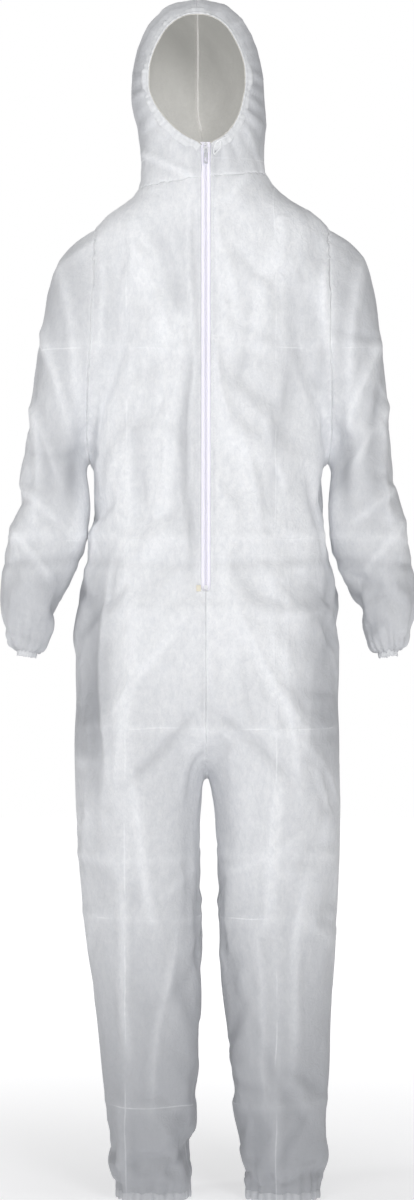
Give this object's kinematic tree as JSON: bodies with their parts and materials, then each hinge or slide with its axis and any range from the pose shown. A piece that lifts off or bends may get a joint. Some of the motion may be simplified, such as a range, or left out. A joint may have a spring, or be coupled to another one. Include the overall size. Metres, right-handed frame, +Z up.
{
  "type": "chemical protective suit",
  "caption": "Hooded one-piece protective coverall of thin non-woven cloth with a front zip and elasticated face, wrist, waist and ankle edges.",
  "frame": {"origin": "middle of the wearer's body at shoulder height, where the garment is carried", "axes": "+Z up, -Y out of the chest, +X to the wearer's left"},
  "size_m": [0.61, 0.2797, 1.763],
  "materials": {
    "cloth": "matte",
    "elastic": "matte",
    "zip_tape": "matte",
    "zip_teeth": "satin",
    "slider": "satin"
  },
  "bodies": {
    "torso": {"front_panel_left": "cloth", "front_panel_right": "cloth", "back_panel_left": "cloth", "back_panel_right": "cloth", "sleeve_upper_left": "cloth", "sleeve_upper_right": "cloth", "hood_collar_left": "cloth", "hood_collar_right": "cloth", "zip_tape_left": "zip_tape", "zip_tape_right": "zip_tape", "zip_chain_left": "zip_teeth", "zip_chain_right": "zip_teeth", "zip_top_stop_left": "zip_teeth", "zip_top_stop_right": "zip_teeth", "waist_casing": "cloth", "waist_elastic": "elastic", "zip_bottom_stop": "zip_teeth"},
    "hood": {"hood_left": "cloth", "hood_right": "cloth", "face_hem": "cloth", "face_elastic": "elastic"},
    "zip_slider": {"zip_slider": "slider"},
    "zip_pull": {"zip_pull": "slider"},
    "forearm_left": {"sleeve_lower_left": "cloth", "wrist_hem_left": "cloth", "wrist_elastic_left": "elastic"},
    "shin_left": {"shin_front_left": "cloth", "shin_back_left": "cloth", "ankle_hem_left": "cloth", "ankle_elastic_left": "elastic"},
    "forearm_right": {"sleeve_lower_right": "cloth", "wrist_hem_right": "cloth", "wrist_elastic_right": "elastic"},
    "shin_right": {"shin_front_right": "cloth", "shin_back_right": "cloth", "ankle_hem_right": "cloth", "ankle_elastic_right": "elastic"}
  },
  "joints": [
    {"name": "hood_fold", "type": "hinge", "parent": "torso", "child": "hood", "pos_m": [0, 0.073, 0.078], "axis": [-1, 0, 0], "range_deg": [0, 70]},
    {"name": "elbow_left", "type": "hinge", "parent": "torso", "child": "forearm_left", "pos_m": [0.242, -0.062, -0.466], "axis": [-0.9899, 0, -0.1414], "range_deg": [0, 100]},
    {"name": "elbow_right", "type": "hinge", "parent": "torso", "child": "forearm_right", "pos_m": [-0.242, -0.062, -0.466], "axis": [-0.9899, 0, 0.1414], "range_deg": [0, 100]},
    {"name": "knee_left", "type": "hinge", "parent": "torso", "child": "shin_left", "pos_m": [0.1074, 0.092, -0.97], "axis": [1, 0, 0], "range_deg": [0, 100]},
    {"name": "knee_right", "type": "hinge", "parent": "torso", "child": "shin_right", "pos_m": [-0.0966, 0.092, -0.97], "axis": [1, 0, 0], "range_deg": [0, 100]},
    {"name": "zip_slide", "type": "slide", "parent": "torso", "child": "zip_slider", "axis": [0, -0.0841, -0.9965], "range_m": [0, 0.627]},
    {"name": "pull_swing", "type": "hinge", "parent": "zip_slider", "child": "zip_pull", "pos_m": [0, -0.08888, 0.10428], "axis": [-1, 0, 0], "range_deg": [0, 170]}
  ]
}
